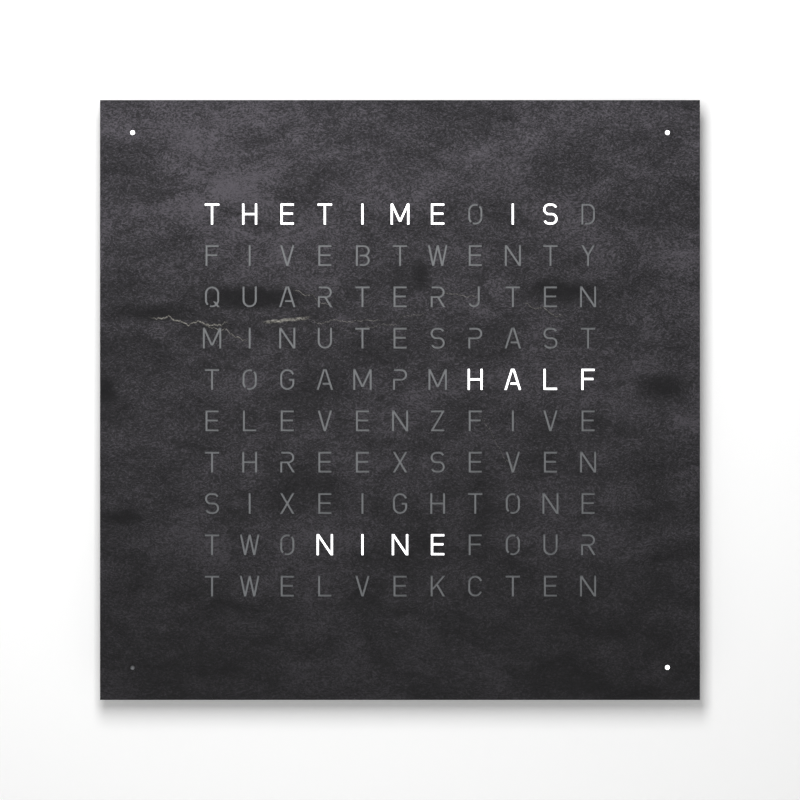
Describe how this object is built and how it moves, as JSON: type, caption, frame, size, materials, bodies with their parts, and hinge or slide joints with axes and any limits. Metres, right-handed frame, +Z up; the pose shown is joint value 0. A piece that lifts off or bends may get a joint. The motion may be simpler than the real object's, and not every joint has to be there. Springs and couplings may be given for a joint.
{
  "type": "wall clock",
  "caption": "Square wall clock with a split-slate face and stencil-cut words lit from behind, four corner minute lights and a slim rear housing.",
  "frame": {"origin": "centre of the housing's back, on the wall plane", "axes": "+X right, +Y into the wall, +Z up, the face looks along -Y"},
  "size_m": [0.45, 0.0238, 0.45],
  "materials": {
    "stone_face": "split slate veneer, matt",
    "face_carrier": "black powder coat",
    "locating_pins": "turned",
    "rear_casing": "moulded, fine texture",
    "front_frame": "moulded, fine texture",
    "light_grid": "moulded white",
    "diffuser_sheet": "opal",
    "magnets": "nickel plated",
    "light_pipes": "clear acrylic",
    "upper_letter_board": "white solder mask",
    "lower_letter_board": "white solder mask",
    "upper_letter_lights": "phosphor under clear resin",
    "lower_letter_lights": "phosphor under clear resin",
    "driver_chips": "moulded epoxy",
    "board_link": "moulded nylon",
    "minute_boards": "green solder mask",
    "minute_lights": "phosphor under clear resin",
    "controller_board": "green solder mask",
    "microcontroller": "moulded epoxy",
    "clock_crystal": "drawn can",
    "capacitors": "drawn can",
    "coin_cell_holder": "moulded nylon",
    "coin_cell": "stainless",
    "ribbon_headers": "moulded nylon",
    "matrix_ribbon": "grey vinyl",
    "power_header": "natural nylon",
    "power_leads": "vinyl",
    "minute_leads": "vinyl",
    "power_socket": "moulded nylon",
    "socket_nut": "nickel plated",
    "socket_pin": "nickel plated",
    "switch_bodies": "moulded nylon",
    "hour_button": "moulded",
    "minute_button": "moulded",
    "mode_button": "moulded",
    "hour_plunger": "moulded",
    "minute_plunger": "moulded",
    "mode_plunger": "moulded",
    "sensor_window": "smoked acrylic",
    "light_sensor": "resin",
    "hanger_plate_left": "zinc plated",
    "hanger_plate_right": "zinc plated",
    "cable_bay": "moulded, fine texture",
    "hanger_cup_left": "moulded, fine texture",
    "hanger_cup_right": "moulded, fine texture"
  },
  "bodies": {
    "housing": {"rear_casing": "rear_casing", "front_frame": "front_frame", "light_grid": "light_grid", "diffuser_sheet": "diffuser_sheet", "magnets": "magnets", "light_pipes": "light_pipes", "upper_letter_board": "upper_letter_board", "lower_letter_board": "lower_letter_board", "upper_letter_lights": "upper_letter_lights", "lower_letter_lights": "lower_letter_lights", "driver_chips": "driver_chips", "board_link": "board_link", "minute_boards": "minute_boards", "minute_lights": "minute_lights", "controller_board": "controller_board", "microcontroller": "microcontroller", "clock_crystal": "clock_crystal", "capacitors": "capacitors", "coin_cell_holder": "coin_cell_holder", "coin_cell": "coin_cell", "ribbon_headers": "ribbon_headers", "matrix_ribbon": "matrix_ribbon", "power_header": "power_header", "power_leads": "power_leads", "minute_leads": "minute_leads", "power_socket": "power_socket", "socket_nut": "socket_nut", "socket_pin": "socket_pin", "switch_bodies": "switch_bodies", "sensor_window": "sensor_window", "light_sensor": "light_sensor", "hanger_plate_left": "hanger_plate_left", "hanger_plate_right": "hanger_plate_right", "cable_bay": "cable_bay", "hanger_cup_left": "hanger_cup_left", "hanger_cup_right": "hanger_cup_right"},
    "face": {"stone_face": "stone_face", "face_carrier": "face_carrier", "locating_pins": "locating_pins"},
    "hour_button": {"hour_button": "hour_button", "hour_plunger": "hour_plunger"},
    "minute_button": {"minute_button": "minute_button", "minute_plunger": "minute_plunger"},
    "mode_button": {"mode_button": "mode_button", "mode_plunger": "mode_plunger"}
  },
  "joints": [
    {"name": "face_lift", "type": "slide", "parent": "housing", "child": "face", "axis": [0, -1, 0], "range_m": [0, 0.06]},
    {"name": "hour_press", "type": "slide", "parent": "housing", "child": "hour_button", "axis": [0, 0, 1], "range_m": [0, 0.0006], "stiffness_N_per_m": 2000},
    {"name": "minute_press", "type": "slide", "parent": "housing", "child": "minute_button", "axis": [0, 0, 1], "range_m": [0, 0.0006], "stiffness_N_per_m": 2000},
    {"name": "mode_press", "type": "slide", "parent": "housing", "child": "mode_button", "axis": [0, 0, 1], "range_m": [0, 0.0006], "stiffness_N_per_m": 2000}
  ]
}
